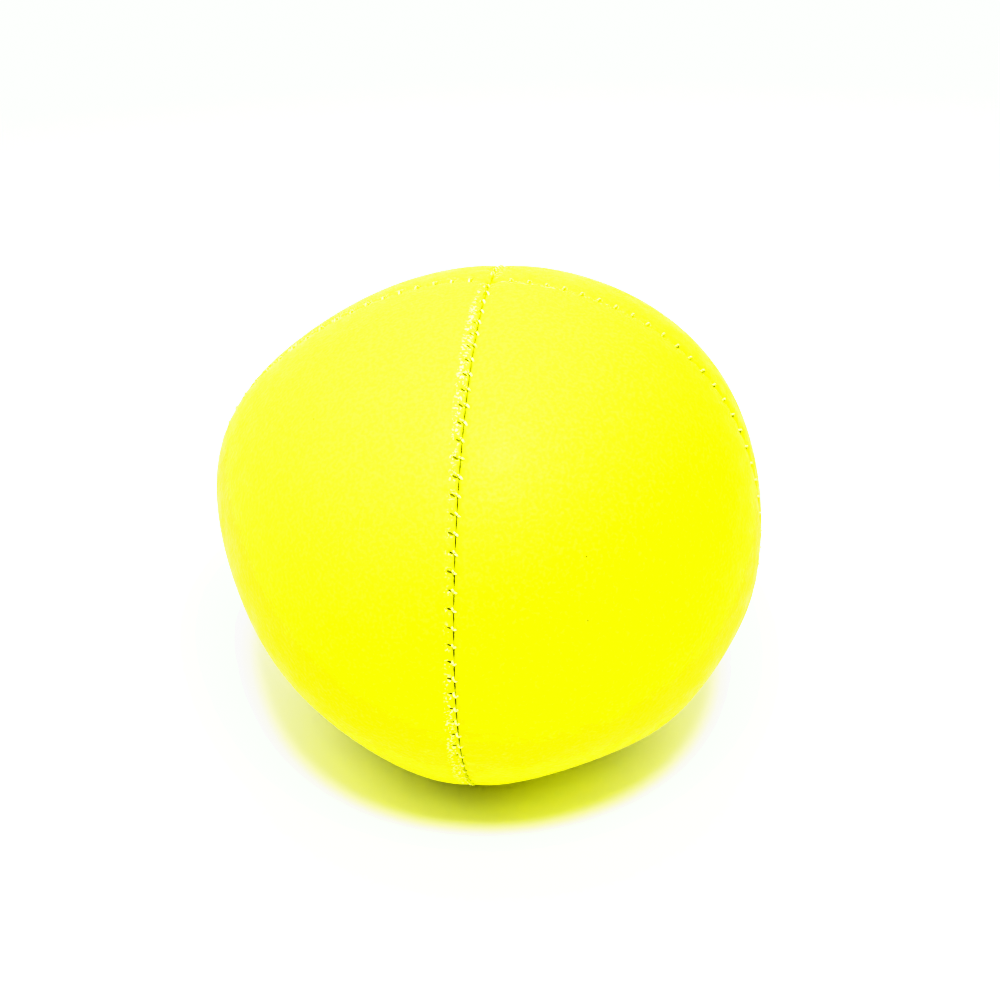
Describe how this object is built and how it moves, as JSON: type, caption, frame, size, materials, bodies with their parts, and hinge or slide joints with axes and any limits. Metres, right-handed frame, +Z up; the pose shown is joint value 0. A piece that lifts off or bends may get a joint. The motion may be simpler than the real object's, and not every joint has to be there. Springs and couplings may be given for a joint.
{
  "type": "juggling ball",
  "caption": "Soft leather juggling ball of lune-shaped panels sewn with turned-in hems, filled with grain and slightly sagged where it rests.",
  "frame": {"origin": "middle of the flat patch that the ball rests on, straight below the ball's widest circle", "axes": "+Z up, +Y to the back, +X to the right seen from the front; the pole axis of the panels leans back 17 degrees from +Z and passes 30.5 mm above the origin"},
  "size_m": [0.07, 0.07, 0.064],
  "materials": {
    "yellow_leather": "satin",
    "sewing_thread": "matte",
    "grain": "matte"
  },
  "bodies": {
    "root": {"panel_front_left": "yellow_leather", "panel_front_right": "yellow_leather", "panel_back_left": "yellow_leather", "panel_back_right": "yellow_leather", "needle_thread_front": "sewing_thread", "bobbin_thread_front": "sewing_thread", "needle_thread_right": "sewing_thread", "bobbin_thread_right": "sewing_thread", "needle_thread_back": "sewing_thread", "bobbin_thread_back": "sewing_thread", "needle_thread_left": "sewing_thread", "bobbin_thread_left": "sewing_thread", "closing_thread": "sewing_thread", "closing_knot": "sewing_thread", "grain_filling": "grain"}
  },
  "joints": []
}
